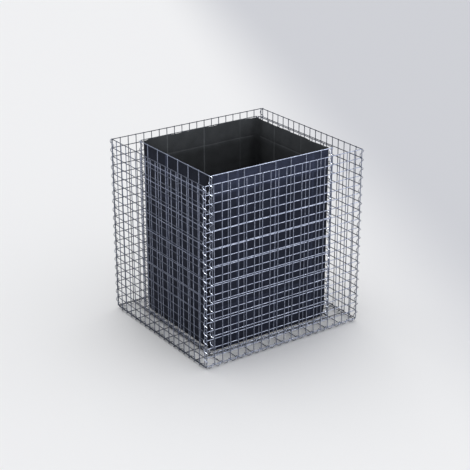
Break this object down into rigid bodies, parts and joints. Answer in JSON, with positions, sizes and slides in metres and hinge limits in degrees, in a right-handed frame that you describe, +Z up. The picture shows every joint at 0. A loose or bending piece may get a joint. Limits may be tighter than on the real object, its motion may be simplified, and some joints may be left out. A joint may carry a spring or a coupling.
{
  "type": "gabion basket",
  "caption": "Open-topped gabion raised bed: square welded-mesh walls round a coarser inner mesh basket with a soft liner, laced along every edge by helical wires.",
  "frame": {"origin": "on the ground under the middle of the basket", "axes": "+Z up, front towards -Y, width along X"},
  "size_m": [1.033, 0.933, 1.0205],
  "materials": {
    "mesh_wire": "satin",
    "spiral_wire": "satin",
    "liner_fleece": "matte"
  },
  "bodies": {
    "root": {"base_mesh": "mesh_wire", "fleece_liner": "liner_fleece", "outer_front_wall": "mesh_wire", "outer_back_wall": "mesh_wire", "outer_left_wall": "mesh_wire", "outer_right_wall": "mesh_wire", "outer_front_left_spiral": "spiral_wire", "outer_front_right_spiral": "spiral_wire", "outer_back_left_spiral": "spiral_wire", "outer_back_right_spiral": "spiral_wire", "outer_front_base_spiral": "spiral_wire", "outer_back_base_spiral": "spiral_wire", "outer_left_base_spiral": "spiral_wire", "outer_right_base_spiral": "spiral_wire", "inner_front_wall": "mesh_wire", "inner_back_wall": "mesh_wire", "inner_left_wall": "mesh_wire", "inner_right_wall": "mesh_wire", "inner_front_left_spiral": "spiral_wire", "inner_front_right_spiral": "spiral_wire", "inner_back_left_spiral": "spiral_wire", "inner_back_right_spiral": "spiral_wire", "inner_front_base_spiral": "spiral_wire", "inner_back_base_spiral": "spiral_wire", "inner_left_base_spiral": "spiral_wire", "inner_right_base_spiral": "spiral_wire"}
  },
  "joints": []
}
